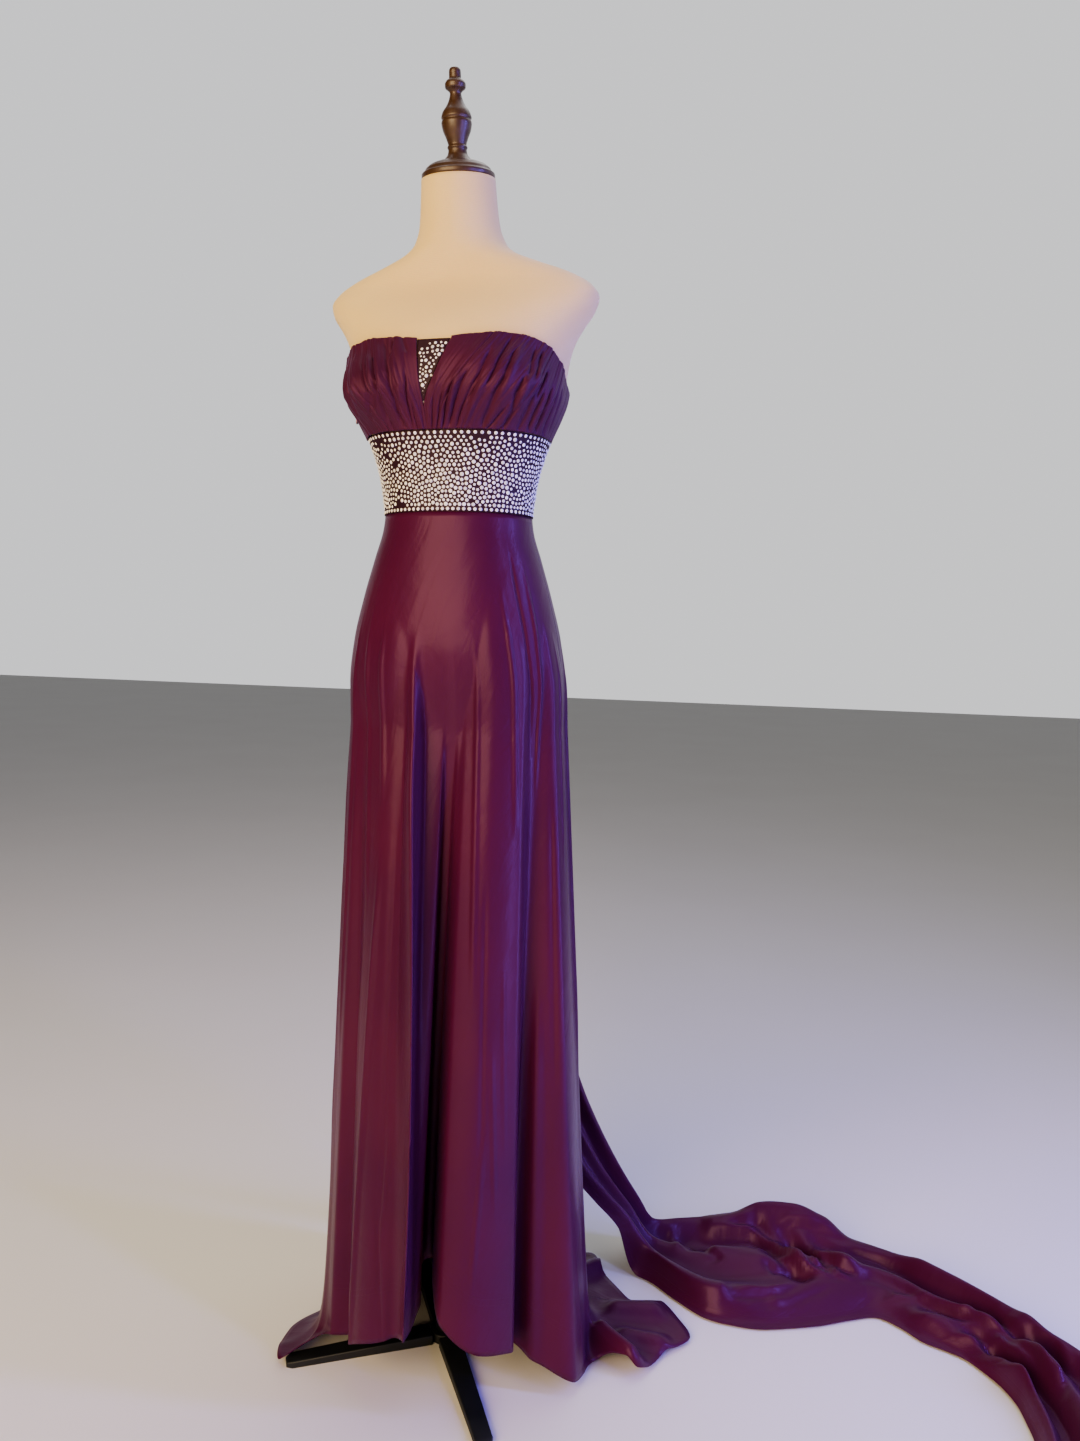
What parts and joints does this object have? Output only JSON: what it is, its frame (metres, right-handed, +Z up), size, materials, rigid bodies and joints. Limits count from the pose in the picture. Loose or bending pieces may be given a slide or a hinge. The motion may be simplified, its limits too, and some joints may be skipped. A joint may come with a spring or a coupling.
{
  "type": "evening gown on dress form",
  "caption": "Strapless floor-length satin evening gown with gathered bust, beaded midriff and long train panel, worn by a limbless dress form on a cross-footed stand.",
  "frame": {"origin": "on the floor under the middle of the stand's boss, on the axis of its pole", "axes": "+Z up along the pole; the gown's front faces -Y and its left side, as worn, faces +X"},
  "size_m": [1.2098, 0.626, 1.7611],
  "materials": {
    "chiffon": "gathered matt satin chiffon, plum",
    "beaded": "plum satin covered with clear and silvery beads",
    "satin": "heavy lustrous satin, plum to burgundy",
    "zip": "plum lacquered zip slider and pull",
    "linen": "cream linen jersey, stretched smooth",
    "wood": "turned wood, dark walnut stain, satin lacquer",
    "stand": "black powder-coated steel"
  },
  "bodies": {
    "gown": {"cup_left": "chiffon", "cup_right": "chiffon", "bust_inset": "beaded", "bodice_back": "chiffon", "band_front": "beaded", "band_back": "beaded", "skirt_front": "satin", "skirt_back_left": "satin", "skirt_back_right": "satin", "train_panel": "satin", "zip_tape": "satin", "zip_slider": "zip", "dress_form": "linen", "neck_cap": "wood", "finial": "wood", "pole": "stand", "pole_collar": "stand", "stand_boss": "stand", "leg_left": "stand", "leg_front": "stand", "leg_right": "stand", "leg_back": "stand"},
    "pull": {"zip_pull": "zip"}
  },
  "joints": [
    {"name": "pull_swing", "type": "hinge", "parent": "gown", "child": "pull", "pos_m": [-0.15368, 0, 1.344], "axis": [0, 1, 0], "range_deg": [0, 150]}
  ]
}
